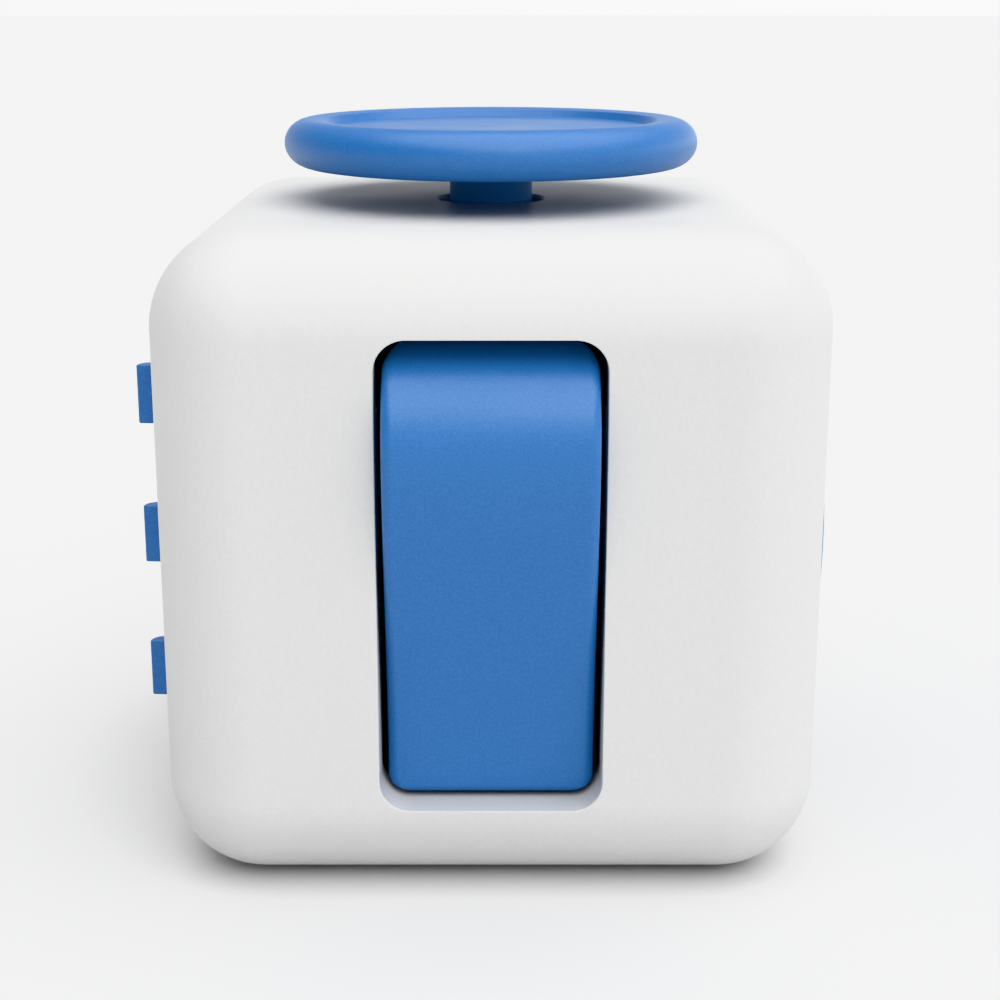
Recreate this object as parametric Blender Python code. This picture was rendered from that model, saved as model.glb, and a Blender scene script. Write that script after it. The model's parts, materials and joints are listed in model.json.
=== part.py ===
"""Fidget cube: a 33 mm cube whose six faces carry a rocker, a thumb joystick, three rolling gears with a
ball, a dial, five push buttons and an oval thumb dish.

The world origin is at the centre of the base. +X is to the right, +Z is up, and the rocker faces -Y.
Dimensions are in millimetres from the cube's centre, and each object is made in metres."""

from math import cos, pi, radians, sin, sqrt

import bmesh
import bpy
from mathutils import Matrix, Vector

MM = 0.001

# Body
CUBE = 33.0
HALF = CUBE / 2
EDGE_RADIUS = 5.0
INNER_EDGE_RADIUS = 1.0
WALL = 2.2
INNER = HALF - WALL
BASE_OPENING_HALF = 11.2
BASE_CORNER_RADIUS = 3.0
HOOK_HALF_WIDTH = 2.0
HOOK = [
    (9.6, -INNER - 0.3),
    (10.6, -INNER - 0.3),
    (10.6, -INNER + 0.15),
    (11.9, -INNER + 0.15),
    (11.0, -INNER + 1.6),
    (9.6, -INNER + 1.6),
]
FIT_GAP = 0.15
DISH_SIZE = (9.2, 6.6, 1.3)

# Front rocker
SLOT_HALF_WIDTH = 5.45
SLOT_HALF_HEIGHT = 11.72
SLOT_CORNER_RADIUS = 1.5
SLOT_RELIEF = (5.5, -15.4, 8.0, 11.8)
COLLAR_DEPTH = 3.0
COLLAR_WALL = 1.1
POST_RADIUS = 1.5
ROCKER_HALF_WIDTH = 5.1
ROCKER_PIVOT = (0.0, -9.0, 0.0)
ROCKER_FLIP = radians(18)
ROCKER_PEAK = (-17.9, 6.3)
ROCKER_SHOULDER_RADIUS = 5.0
ROCKER_FOOT = (-14.9, -10.7)
ROCKER_FOOT_RADIUS = 0.6
ROCKER_CORNER_RADIUS = 0.8
ROCKER_BACK = [(-11.2, 11.3), (-9.6, 4.6)]
ROCKER_HEEL = [(-8.4, -4.0), (-12.0, -11.3)]
CAM_RADIUS = 3.87
CAM_ANGLES = (40, -22)
NOTCH_RADIUS = 0.65
NOTCH_DISTANCE = 4.3
PIN_RADIUS = 0.9
PIN_BORE_RADIUS = 1.0
CRADLE_INNER = 5.4
CRADLE_OUTER = 6.5
CRADLE_FOOT_BACK = -13.2
CRADLE_FLOOR = (-4.5, -3.5)
TUBE_RADII = (1.35, 2.1)
TUBE_END = 1.6
PLUNGER_TIP_RADIUS = 0.5
PLUNGER_FLANGE_RADIUS = 1.2
CRADLE_SCREWS = [(x, z) for x in (-8.4, 8.4) for z in (-2.8, 2.8)]

# Left gears
GEAR_AXIS = (-13.8, -7.5)
GEAR_PITCH = 7.4
GEAR_HEIGHTS = (GEAR_PITCH, 0.0, -GEAR_PITCH)
GEAR_TEETH = 8
GEAR_OUTER = 4.2
GEAR_ROOT = 3.15
TOOTH_FLANK = 0.45
TOOTH_CREST = 0.35
TOOTH_BACK_RADIUS = 0.7
TOOTH_ROOT = (0.5, -0.6)
GEAR_THICKNESS = 3.05
GEAR_BORE_RADIUS = 0.85
AXLE_RADIUS = 0.75
AXLE_HALF = 11.2
WINDOW_RADIUS = 4.45
WINDOW_HEIGHT = 3.7
GEAR_SCREW_HEIGHT = 12.1
BRACKET_PLATE = (-8.4, -7.4)
BRACKET_BACK = -3.6
BRACKET_LUGS = ((2.2, 5.2), (9.3, 10.6))
LEAF_BACK = (-3.5, -3.2)
LEAF_HALF_HEIGHT = 1.0
LEAF_FINGER = [
    (-8.2, -3.5),
    (-8.2, -3.25),
    (-11.6, -2.6),
    (-12.1, -2.75),
    (-12.6, -4.1),
    (-12.3, -4.2),
    (-11.8, -2.95),
]

# Left ball
BALL_RADIUS = 3.9
BALL_CENTRE = (-13.9, 5.3, 0.0)
BALL_PLAY = 0.15
CUP_RADIUS = 4.6
HOLDER_RADII = (4.75, 5.2)
HOLDER_BACK = -5.6
HOLDER_FLOOR = 0.8
CUP_BACK = 4.9
SOCKET_WALL = 0.8

# Right dial
DIAL_RADIUS = 9.75
DIAL_RECESS_RADIUS = 10.0
DIAL_RECESS_FLOOR = 15.3
DIAL_FACE = 17.03
DIAL_HUB_RADIUS = 3.0
DIAL_EDGE = 0.4
RETAINER_RADIUS = 4.6
RETAINER_THICKNESS = 1.0
DIMPLE_RADIUS = 4.0
DIMPLE_RISE = 3.2
DIMPLE_OFFSET = 5.3

# Back buttons
BUTTON_SPACING = 6.5
BUTTON_SPOTS = [(-1, 1), (1, 1), (0, 0), (-1, -1), (1, -1)]
BUTTON_RADIUS = 2.5
BUTTON_HOLE_RADIUS = 2.65
BUTTON_FACE = 18.0
BUTTON_EDGE = 0.5
BUTTON_PIP_RADIUS = 0.9
BUTTON_FLANGE = (13.2, 14.1)
BUTTON_FLANGE_RADIUS = 3.1
BUTTON_PIP_END = 12.8
BOARD = (10.7, 11.5)
BOARD_HALF = 10.6
BOARD_SCREW_HEIGHT = 8.8
DOME_RADIUS = 2.4

# Top joystick
TILT_CENTRE = 12.8
STEM_RADIUS = 2.2
STEM_HOLE_RADIUS = 2.85
STEM_END = 13.75
RIM_CENTRE = (9.63, 19.5)
RIM_HALF = (1.32, 1.23)
RECESS_EDGE = (8.8, 20.65)
RECESS_FLOOR = (8.5, 20.26)
DISC_UNDERSIDE = 18.45
HUB_RADIUS = 2.9
HUB_FLANGE_RADIUS = 4.0
GIMBAL_RADII = (3.3, 5.0)
GIMBAL_HALF_HEIGHT = 0.7
TRUNNION_RADIUS = 0.55
TRUNNION_HOLE_RADIUS = 0.65
FRAME_LUG = (5.5, 6.7)
FRAME_FLOOR = (6.0, 7.0)
FRAME_SCREW_X = 8.9

# Screws
SHANK_RADIUS = 0.6
PILOT_RADIUS = 0.7
CLEARANCE_RADIUS = 0.85
HEAD_RADIUS = 1.25
HEAD_HEIGHT = 0.8
REST_GAP = 0.1

# The housing's long chain of cuts leaves open edges with the exact solver.
SOLVERS = {"main_housing": "MANIFOLD"}

AIM = {
    "+Z": Matrix.Identity(4),
    "-Z": Matrix.Rotation(pi, 4, "X"),
    "+X": Matrix.Rotation(pi / 2, 4, "Y"),
    "-X": Matrix.Rotation(-pi / 2, 4, "Y"),
    "+Y": Matrix.Rotation(-pi / 2, 4, "X"),
    "-Y": Matrix.Rotation(pi / 2, 4, "X"),
}


# Materials


def plastic_or_metal(name, colour, roughness, metallic=0.0):
    material = bpy.data.materials.new(name)
    material.use_nodes = True
    shader = material.node_tree.nodes["Principled BSDF"]
    shader.inputs["Base Color"].default_value = (*colour, 1.0)
    shader.inputs["Roughness"].default_value = roughness
    shader.inputs["Metallic"].default_value = metallic
    material.diffuse_color = (*colour, 1.0)
    return material


# Shapes, all in millimetres from the cube's centre


def block(low, high, bevel=0.0, segments=1):
    """A box between two corners, with its edges rounded."""
    low, high = Vector(low), Vector(high)
    size = high - low
    shape = bmesh.new()
    bmesh.ops.create_cube(shape, size=1.0, matrix=Matrix.Diagonal((*size, 1.0)))
    if bevel:
        bmesh.ops.bevel(
            shape,
            geom=shape.edges[:],
            offset=bevel,
            segments=segments,
            profile=0.5,
            affect="EDGES",
        )
    shape.transform(Matrix.Translation((low + high) / 2))
    return shape


def turned(profile, steps, aim="+Z", centre=(0, 0, 0)):
    """Turns (radius, height) points about an axis, from axis to axis or as a loop clear of it."""
    shape = bmesh.new()
    points = [shape.verts.new((radius, 0, height)) for radius, height in profile]
    pairs = list(zip(points, points[1:]))
    if profile[0][0] > 0:
        pairs.append((points[-1], points[0]))
    edges = [shape.edges.new(pair) for pair in pairs]
    bmesh.ops.spin(
        shape,
        geom=points + edges,
        cent=(0, 0, 0),
        axis=(0, 0, 1),
        angle=2 * pi,
        steps=steps,
        use_merge=True,
    )
    bmesh.ops.remove_doubles(shape, verts=shape.verts, dist=1e-4)
    bmesh.ops.recalc_face_normals(shape, faces=shape.faces)
    shape.transform(Matrix.Translation(centre) @ AIM[aim])
    return shape


def cylinder(radius, start, end, steps, aim="+Z", centre=(0, 0, 0)):
    return turned([(0, start), (radius, start), (radius, end), (0, end)], steps, aim, centre)


def tube(inner, outer, start, end, steps, aim="+Z", centre=(0, 0, 0)):
    return turned([(inner, start), (outer, start), (outer, end), (inner, end)], steps, aim, centre)


def ball_shape(radius, centre, rings):
    profile = [(radius * sin(pi * k / rings), -radius * cos(pi * k / rings)) for k in range(rings + 1)]
    return turned(profile, 2 * rings, centre=centre)


def extruded(outline, start, end, along):
    """A flat outline drawn out along an axis: its points are (y, z) for X, (x, z) for Y, (x, y) for Z."""
    places = {
        "X": lambda a, b: (start, a, b),
        "Y": lambda a, b: (a, start, b),
        "Z": lambda a, b: (a, b, start),
    }
    steps = {"X": (end - start, 0, 0), "Y": (0, end - start, 0), "Z": (0, 0, end - start)}
    shape = bmesh.new()
    face = shape.faces.new([shape.verts.new(places[along](a, b)) for a, b in outline])
    moved = bmesh.ops.extrude_face_region(shape, geom=[face])["geom"]
    corners = [item for item in moved if isinstance(item, bmesh.types.BMVert)]
    bmesh.ops.translate(shape, verts=corners, vec=steps[along])
    bmesh.ops.recalc_face_normals(shape, faces=shape.faces)
    return shape


def arc(centre, radius, start, end, steps):
    """Points on a circle from one angle to another, in degrees."""
    angles = [radians(start + (end - start) * k / steps) for k in range(steps + 1)]
    return [(centre[0] + radius * cos(a), centre[1] + radius * sin(a)) for a in angles]


def rounded_rectangle(half_width, half_height, radius, steps, middle=(0, 0)):
    across, up = half_width - radius, half_height - radius
    corners = [(across, up, 0), (-across, up, 90), (-across, -up, 180), (across, -up, 270)]
    outline = []
    for x, z, angle in corners:
        outline += arc((middle[0] + x, middle[1] + z), radius, angle, angle + 90, steps)
    return outline


def coil(radius, wire, length, turns, aim, centre, steps=12, sides=5):
    """A round wire wound into a helix, with flat ends."""
    shape = bmesh.new()
    rings = []
    count = int(turns * steps)
    for k in range(count + 1):
        turn = 2 * pi * k / steps
        height = wire + (length - 2 * wire) * k / count
        out = Vector((cos(turn), sin(turn), 0))
        ring = []
        for side in range(sides):
            angle = 2 * pi * side / sides
            offset = out * (wire * cos(angle)) + Vector((0, 0, wire * sin(angle)))
            ring.append(shape.verts.new(out * radius + Vector((0, 0, height)) + offset))
        rings.append(ring)
    for first, second in zip(rings, rings[1:]):
        for side in range(sides):
            after = (side + 1) % sides
            shape.faces.new((first[side], first[after], second[after], second[side]))
    shape.faces.new(rings[0])
    shape.faces.new(rings[-1])
    bmesh.ops.recalc_face_normals(shape, faces=shape.faces)
    shape.transform(Matrix.Translation(centre) @ AIM[aim])
    return shape


# Objects


def body(name, centre=(0, 0, 0)):
    """An empty on a joint's axis, which the pieces that move there are parented to."""
    empty = bpy.data.objects.new("axis_" + name, None)
    empty.location = (Vector(centre) + Vector((0, 0, HALF))) * MM
    bpy.context.collection.objects.link(empty)
    return empty


def mesh_of(name, shape):
    mesh = bpy.data.meshes.new(name)
    shape.to_mesh(mesh)
    shape.free()
    mesh.shade_smooth()
    mesh.set_sharp_from_angle(angle=radians(35))
    return mesh


def piece(name, shape, material, parent):
    """A sub-part whose origin is on its parent's joint axis."""
    lift = Vector((0, 0, HALF * MM))
    shape.transform(Matrix.Translation(lift - parent.location) @ Matrix.Scale(MM, 4))
    thing = bpy.data.objects.new(name, mesh_of(name, shape))
    thing.data.materials.append(material)
    thing.parent = parent
    bpy.context.collection.objects.link(thing)
    return thing


def tool(thing, shape, operation):
    """Joins a shape to a piece, or cuts it away, with a Boolean on a hidden helper."""
    name = f"{thing.name}_tool_{len(thing.modifiers) + 1}"
    helper = piece(name, shape, thing.data.materials[0], thing.parent)
    helper.hide_render = True
    helper.display_type = "WIRE"
    modifier = thing.modifiers.new(helper.name, "BOOLEAN")
    modifier.operation = operation
    modifier.solver = SOLVERS.get(thing.name, "EXACT")
    modifier.object = helper


def join(thing, *shapes):
    for shape in shapes:
        tool(thing, shape, "UNION")


def cut(thing, *shapes):
    for shape in shapes:
        tool(thing, shape, "DIFFERENCE")


def screw(name, head_base, length, aim, centre, parent, head_radius=HEAD_RADIUS):
    """A pan-head screw: the head stands behind head_base, and the shank runs forward along aim."""
    recess = (head_radius * 0.4, HEAD_HEIGHT * 0.5)
    profile = [
        (0, -HEAD_HEIGHT + recess[1]),
        (recess[0], -HEAD_HEIGHT),
        (head_radius * 0.85, -HEAD_HEIGHT),
        (head_radius, 0),
        (SHANK_RADIUS, 0),
        (SHANK_RADIUS, length - SHANK_RADIUS),
        (0, length),
    ]
    profile = [(radius, height + head_base) for radius, height in profile]
    return piece(name, turned(profile, 8, aim, centre), STEEL, parent)


# Sub-parts


def make_main_housing(root):
    corner = (HALF, HALF, HALF)
    solid = block([-c for c in corner], corner, EDGE_RADIUS, 6)
    housing = piece("main_housing", solid, WHITE, root)
    inner = (INNER, INNER, INNER)
    cut(housing, block([-c for c in inner], inner, INNER_EDGE_RADIUS, 2))
    across, up = SLOT_HALF_WIDTH + COLLAR_WALL, SLOT_HALF_HEIGHT + COLLAR_WALL
    collar = rounded_rectangle(across, up, SLOT_CORNER_RADIUS + COLLAR_WALL, 3)
    socket = HOLDER_RADII[1] + REST_GAP
    around_ball = (0, *BALL_CENTRE[1:])
    ring = tube(socket, socket + SOCKET_WALL, -INNER - 0.3, -INNER + 1.2, 24, "+X", around_ball)
    posts = []
    for x, z in CRADLE_SCREWS:
        end = CRADLE_FOOT_BACK - REST_GAP
        posts.append(cylinder(POST_RADIUS, -INNER - 0.3, end, 10, "+Y", (x, 0, z)))
    for side in (-1, 1):
        spot = (0, 0, side * BOARD_SCREW_HEIGHT)
        posts.append(cylinder(POST_RADIUS, BOARD[1] + REST_GAP, INNER + 0.3, 10, "+Y", spot))
    join(housing, extruded(collar, -INNER - 0.3, -HALF + COLLAR_DEPTH, "Y"), ring, *posts)
    base = rounded_rectangle(BASE_OPENING_HALF, BASE_OPENING_HALF, BASE_CORNER_RADIUS, 5)
    slot = rounded_rectangle(SLOT_HALF_WIDTH, SLOT_HALF_HEIGHT, SLOT_CORNER_RADIUS, 5)
    cut(housing, extruded(base, -HALF - 1, -INNER + 1, "Z"))
    cut(housing, extruded(slot, -HALF - 1, -HALF + COLLAR_DEPTH + 1, "Y"))
    across, front, low, high = SLOT_RELIEF
    cut(housing, block((-across, front, low), (across, -HALF + COLLAR_DEPTH + 1, high)))
    for height in GEAR_HEIGHTS:
        low, high = height - WINDOW_HEIGHT / 2, height + WINDOW_HEIGHT / 2
        cut(housing, cylinder(WINDOW_RADIUS, low, high, 32, centre=(*GEAR_AXIS, 0)))
    groove = AXLE_HALF + FIT_GAP
    cut(housing, cylinder(AXLE_RADIUS + FIT_GAP, -groove, groove, 16, centre=(*GEAR_AXIS, 0)))
    cut(housing, ball_shape(BALL_RADIUS + BALL_PLAY, BALL_CENTRE, 11))
    cut(housing, cylinder(DIAL_RECESS_RADIUS, DIAL_RECESS_FLOOR, HALF + 1, 40, "+X"))
    cut(housing, cylinder(DIAL_HUB_RADIUS + 0.1, INNER - 1, DIAL_RECESS_FLOOR + 1, 20, "+X"))
    for x, z in BUTTON_SPOTS:
        spot = (x * BUTTON_SPACING, 0, z * BUTTON_SPACING)
        cut(housing, cylinder(BUTTON_HOLE_RADIUS, INNER - 1, HALF + 1, 20, "+Y", spot))
    cut(housing, cylinder(STEM_HOLE_RADIUS, INNER - 1, HALF + 1, 24))
    for x, z in CRADLE_SCREWS:
        cut(housing, cylinder(PILOT_RADIUS, -HALF + 1, -INNER + 2, 8, "+Y", (x, 0, z)))
    for side in (-1, 1):
        spot = (0, 0, side * BOARD_SCREW_HEIGHT)
        cut(housing, cylinder(PILOT_RADIUS, BOARD[1] - 1, HALF - 1, 8, "+Y", spot))
        spot = (side * FRAME_SCREW_X, 0, 0)
        cut(housing, cylinder(PILOT_RADIUS, INNER - 1, HALF - 1, 8, "+Z", spot))
        spot = (0, GEAR_AXIS[1], side * GEAR_SCREW_HEIGHT)
        cut(housing, cylinder(PILOT_RADIUS, -HALF + 1, -INNER + 1, 8, "+X", spot))


def make_base_cover(root):
    half, radius = BASE_OPENING_HALF - FIT_GAP, BASE_CORNER_RADIUS - FIT_GAP
    plate = extruded(rounded_rectangle(half, half, radius, 5), -HALF, -INNER, "Z")
    cover = piece("base_cover", plate, WHITE, root)
    across, along, depth = DISH_SIZE
    pad = rounded_rectangle(across, along + 0.8, BASE_CORNER_RADIUS, 3)
    join(cover, extruded(pad, -INNER - 0.3, -INNER + 0.8, "Z"))
    for quarter in range(4):
        shape = extruded(HOOK, -HOOK_HALF_WIDTH, HOOK_HALF_WIDTH, "Y")
        shape.transform(Matrix.Rotation(quarter * pi / 2, 4, "Z"))
        join(cover, shape)
    drop = 2.0
    height = depth + drop
    spread = 1 / sqrt(1 - (drop / height) ** 2)
    dish = ball_shape(1.0, (0, 0, 0), 16)
    dish.transform(Matrix.Diagonal((across * spread, along * spread, height, 1.0)))
    dish.transform(Matrix.Translation((0, 0, -HALF - drop)))
    cut(cover, dish)


def rocker_outline():
    """The rocker's side: a rounded foot, a face that swells to a shoulder, and a cam behind the pivot."""
    foot, peak = ROCKER_FOOT, ROCKER_PEAK
    rise, swell = (foot[0] - 0.05, foot[1] + 6.2), (peak[0], peak[1] - 4.3)
    face = []
    steps = 10
    for k in range(1, steps):
        t = k / steps
        weights = ((1 - t) ** 3, 3 * t * (1 - t) ** 2, 3 * t * t * (1 - t), t**3)
        ends = (foot, rise, swell, peak)
        face.append(tuple(sum(w * p[i] for w, p in zip(weights, ends)) for i in (0, 1)))
    shoulder = (peak[0] + ROCKER_SHOULDER_RADIUS, peak[1])
    top = arc(shoulder, ROCKER_SHOULDER_RADIUS, 180, 90, 8)
    pivot = ROCKER_PIVOT[1:]
    cam = arc(pivot, CAM_RADIUS, *CAM_ANGLES, 8)
    heel = arc((foot[0] + ROCKER_FOOT_RADIUS, foot[1]), ROCKER_FOOT_RADIUS, 270, 180, 3)
    return heel + face + top + ROCKER_BACK + cam + ROCKER_HEEL


def make_rocker(moving):
    width = ROCKER_HALF_WIDTH
    rocker = piece("rocker", extruded(rocker_outline(), -width, width, "X"), BLUE, moving)
    low, high = ROCKER_FOOT[1] - ROCKER_FOOT_RADIUS, ROCKER_PEAK[1] + ROCKER_SHOULDER_RADIUS
    middle = (0, (high + low) / 2)
    face = rounded_rectangle(width + 0.01, (high - low) / 2 + 0.01, ROCKER_CORNER_RADIUS, 4, middle)
    tool(rocker, extruded(face, -HALF - 3, -3, "Y"), "INTERSECT")
    cut(rocker, cylinder(PIN_BORE_RADIUS, -width - 1, width + 1, 20, "+X", ROCKER_PIVOT))
    for turn in (0, ROCKER_FLIP):
        spot = (0, ROCKER_PIVOT[1] + NOTCH_DISTANCE * cos(turn), NOTCH_DISTANCE * sin(turn))
        cut(rocker, cylinder(NOTCH_RADIUS, -width - 1, width + 1, 16, "+X", spot))


def make_rocker_mount(root, plunging):
    end = CRADLE_OUTER + 0.3
    piece("rocker_pin", cylinder(PIN_RADIUS, -end, end, 20, "+X", ROCKER_PIVOT), STEEL, root)
    floor, back = CRADLE_FLOOR
    plate = block((-CRADLE_OUTER, floor, -4.5), (CRADLE_OUTER, back, 4.5))
    cradle = piece("rocker_cradle", plate, DARK, root)
    for side in (-1, 1):
        plate = sorted((side * CRADLE_INNER, side * CRADLE_OUTER))
        foot = sorted((side * CRADLE_INNER, side * 10.0))
        join(cradle, block((plate[0], CRADLE_FOOT_BACK + 0.5, -3.2), (plate[1], floor + 0.5, 3.2)))
        join(cradle, block((foot[0], CRADLE_FOOT_BACK, -4.5), (foot[1], CRADLE_FOOT_BACK + 1, 4.5)))
    join(cradle, cylinder(TUBE_RADII[1], floor + 0.5, TUBE_END, 24, "+Y"))
    cut(cradle, cylinder(TUBE_RADII[0], back, TUBE_END + 1, 20, "+Y"))
    cut(cradle, cylinder(TRUNNION_RADIUS + 0.07, floor - 1, back + 1, 16, "+Y"))
    cut(cradle, cylinder(PIN_RADIUS + 0.05, -CRADLE_OUTER - 1, CRADLE_OUTER + 1, 20, "+X", ROCKER_PIVOT))
    for number, (x, z) in enumerate(CRADLE_SCREWS, 1):
        spot = (x, 0, z)
        foot = CRADLE_FOOT_BACK
        cut(cradle, cylinder(CLEARANCE_RADIUS, foot - 1, foot + 2, 12, "+Y", spot))
        screw(f"cradle_screw_{number}", -foot - 1 - REST_GAP, 3.1, "-Y", spot, root)
    tip = ROCKER_PIVOT[1] + NOTCH_DISTANCE
    thin, wide = PLUNGER_TIP_RADIUS, PLUNGER_FLANGE_RADIUS
    profile = [(thin * sin(pi * k / 8), tip - thin * cos(pi * k / 8)) for k in range(5)]
    profile += [(thin, back + 0.2), (wide, back + 0.2), (wide, back + 1.1), (thin, back + 1.1)]
    profile += [(thin, back + 2), (0, back + 2)]
    piece("rocker_plunger", turned(profile, 16, "+Y"), STEEL, plunging)
    plug = [(0, TUBE_END - 0.8), (1.25, TUBE_END - 0.8), (1.25, TUBE_END), (0, TUBE_END)]
    piece("detent_plug", turned(plug, 16, "+Y"), DARK, root)
    spring = coil(0.9, 0.16, TUBE_END - 1.1 - back - 1.2, 5, "+Y", (0, back + 1.2, 0), 10)
    piece("rocker_spring", spring, STEEL, root)


def gear_outline():
    """Teeth with a straight leading flank and a rounded back, one of them pointing out of the face."""
    outline = []
    for tooth in range(GEAR_TEETH):
        turn = pi + 2 * pi * tooth / GEAR_TEETH
        back = (GEAR_OUTER - TOOTH_BACK_RADIUS, TOOTH_CREST)
        local = [(GEAR_ROOT, TOOTH_ROOT[1])]
        local += arc(back, TOOTH_BACK_RADIUS, -90, 0, 5)
        local += [(GEAR_OUTER - TOOTH_FLANK + TOOTH_CREST, TOOTH_FLANK), (GEAR_ROOT, TOOTH_ROOT[0])]
        outline += [(r * cos(turn) - s * sin(turn), r * sin(turn) + s * cos(turn)) for r, s in local]
    return outline


def make_gears(root, spinning):
    x, y = GEAR_AXIS
    for number, (height, moving) in enumerate(zip(GEAR_HEIGHTS, spinning), 1):
        low, high = height - GEAR_THICKNESS / 2, height + GEAR_THICKNESS / 2
        shape = extruded([(x + a, y + b) for a, b in gear_outline()], low, high, "Z")
        gear = piece(f"gear_{number}", shape, BLUE, moving)
        cut(gear, cylinder(GEAR_BORE_RADIUS, low - 1, high + 1, 16, centre=(x, y, 0)))
    piece("gear_axle", cylinder(AXLE_RADIUS, -AXLE_HALF, AXLE_HALF, 16, centre=(x, y, 0)), STEEL, root)
    plate = BRACKET_PLATE
    wall = -INNER + 0.2
    shape = block((plate[0], -10.8, -10.6), (plate[1], BRACKET_BACK, 10.6))
    bracket = piece("gear_bracket", shape, DARK, root)
    for side in (-1, 1):
        for low, high in BRACKET_LUGS:
            heights = sorted((side * low, side * high))
            join(bracket, block((wall, y - 1.8, heights[0]), (plate[0] + 0.5, y + 1.8, heights[1])))
        heights = sorted((side * 10.0, side * 13.4))
        join(bracket, block((wall - 0.1, y - 1.9, heights[0]), (wall + 1, y + 1.9, heights[1])))
        spot = (0, y, side * GEAR_SCREW_HEIGHT)
        cut(bracket, cylinder(CLEARANCE_RADIUS, wall - 1, wall + 2, 12, "+X", spot))
    cut(bracket, cylinder(AXLE_RADIUS + 0.05, -12, 12, 16, centre=(x, y, 0)))
    for number, side in enumerate((-1, 1), 1):
        spot = (0, y, side * GEAR_SCREW_HEIGHT)
        screw(f"gear_screw_{number}", -wall - 1 - REST_GAP, 2.0, "-X", spot, root)
    near, far = LEAF_BACK
    for number, height in enumerate(GEAR_HEIGHTS, 1):
        low, high = height - LEAF_HALF_HEIGHT, height + LEAF_HALF_HEIGHT
        foot = block((plate[0] - 0.2, near, low - 1), (plate[1], far, high + 1))
        leaf = piece(f"gear_click_spring_{number}", foot, STEEL, root)
        join(leaf, extruded(LEAF_FINGER, low, high, "Z"))


def make_ball(root, pressing, rolling):
    x, y, z = BALL_CENTRE
    piece("ball", ball_shape(BALL_RADIUS, BALL_CENTRE, 11), BLUE, rolling)
    back = x + CUP_BACK
    cup = piece("ball_cup", cylinder(CUP_RADIUS, x + 0.2, back, 24, "+X", (0, y, z)), DARK, pressing)
    cut(cup, ball_shape(BALL_RADIUS + BALL_PLAY, BALL_CENTRE, 11))
    holder = cylinder(HOLDER_RADII[1], -INNER + 0.2, HOLDER_BACK, 24, "+X", (0, y, z))
    holder = piece("ball_holder", holder, DARK, root)
    floor = HOLDER_BACK - HOLDER_FLOOR
    cut(holder, cylinder(HOLDER_RADII[0], -INNER - 1, floor, 24, "+X", (0, y, z)))
    length = floor - back - 2 * REST_GAP
    piece("ball_spring", coil(2.6, 0.25, length, 3, "+X", (back + REST_GAP, y, z)), STEEL, root)


def make_dial(moving):
    foot = DIAL_RECESS_FLOOR + FIT_GAP
    hub = INNER - 0.3
    edge = arc((DIAL_RADIUS - DIAL_EDGE, DIAL_FACE - DIAL_EDGE), DIAL_EDGE, 90, 0, 3)
    profile = [(0, DIAL_FACE)] + edge
    profile += [(DIAL_RADIUS, foot), (DIAL_HUB_RADIUS, foot), (DIAL_HUB_RADIUS, hub)]
    profile += [(PILOT_RADIUS, hub), (PILOT_RADIUS, DIAL_FACE - 1), (0, DIAL_FACE - 1)]
    dial = piece("dial", turned(profile[::-1], 40, "+X"), BLUE, moving)
    cut(dial, ball_shape(DIMPLE_RADIUS, (DIAL_FACE + DIMPLE_RISE, 0, DIMPLE_OFFSET), 14))
    back = hub - REST_GAP - RETAINER_THICKNESS
    washer = cylinder(RETAINER_RADIUS, back, hub - REST_GAP, 32, "+X")
    washer = piece("dial_retainer", washer, STEEL, moving)
    cut(washer, cylinder(PILOT_RADIUS, hub - 2, hub + 1, 12, "+X"))
    screw("dial_screw", back - REST_GAP, 3.0, "+X", (0, 0, 0), moving, 1.6)


def make_buttons(root, pressing):
    low, high = BUTTON_FLANGE
    edge = arc((BUTTON_RADIUS - BUTTON_EDGE, BUTTON_FACE - BUTTON_EDGE), BUTTON_EDGE, 0, 90, 2)
    pip = BUTTON_PIP_RADIUS
    profile = [(0, BUTTON_PIP_END), (pip, BUTTON_PIP_END), (pip, low), (BUTTON_FLANGE_RADIUS, low)]
    profile += [(BUTTON_FLANGE_RADIUS, high), (BUTTON_RADIUS, high)] + edge + [(0, BUTTON_FACE)]
    clicking, quiet = 0, 0
    for number, ((column, row), moving) in enumerate(zip(BUTTON_SPOTS, pressing), 1):
        spot = (column * BUTTON_SPACING, 0, row * BUTTON_SPACING)
        piece(f"button_{number}", turned(profile, 20, "+Y", spot), BLUE, moving)
        height = BUTTON_PIP_END - REST_GAP - BOARD[1] - REST_GAP
        if number % 2:
            clicking += 1
            dome = [(0, 0.25), (DOME_RADIUS * 0.5, 0.15), (DOME_RADIUS - 0.3, 0), (DOME_RADIUS, 0)]
            dome += [(DOME_RADIUS * 0.85, height * 0.55), (DOME_RADIUS * 0.45, height * 0.9), (0, height)]
            name, material = f"click_dome_{clicking}", STEEL
        else:
            quiet += 1
            dome = [(0, 0), (DOME_RADIUS, 0), (DOME_RADIUS, 0.35), (DOME_RADIUS * 0.6, height), (0, height)]
            name, material = f"silent_pad_{quiet}", RUBBER
        place = (spot[0], BOARD[1] + REST_GAP, spot[2])
        piece(name, turned(dome, 14, "+Y", place), material, root)
    outline = rounded_rectangle(BOARD_HALF, BOARD_HALF, 1.5, 3)
    board = piece("button_board", extruded(outline, *BOARD, "Y"), DARK, root)
    for number, side in enumerate((-1, 1), 1):
        spot = (0, 0, side * BOARD_SCREW_HEIGHT)
        cut(board, cylinder(CLEARANCE_RADIUS, BOARD[0] - 1, BOARD[1] + 1, 12, "+Y", spot))
        screw(f"board_screw_{number}", BOARD[0] - REST_GAP, 3.6, "+Y", spot, root)


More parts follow.
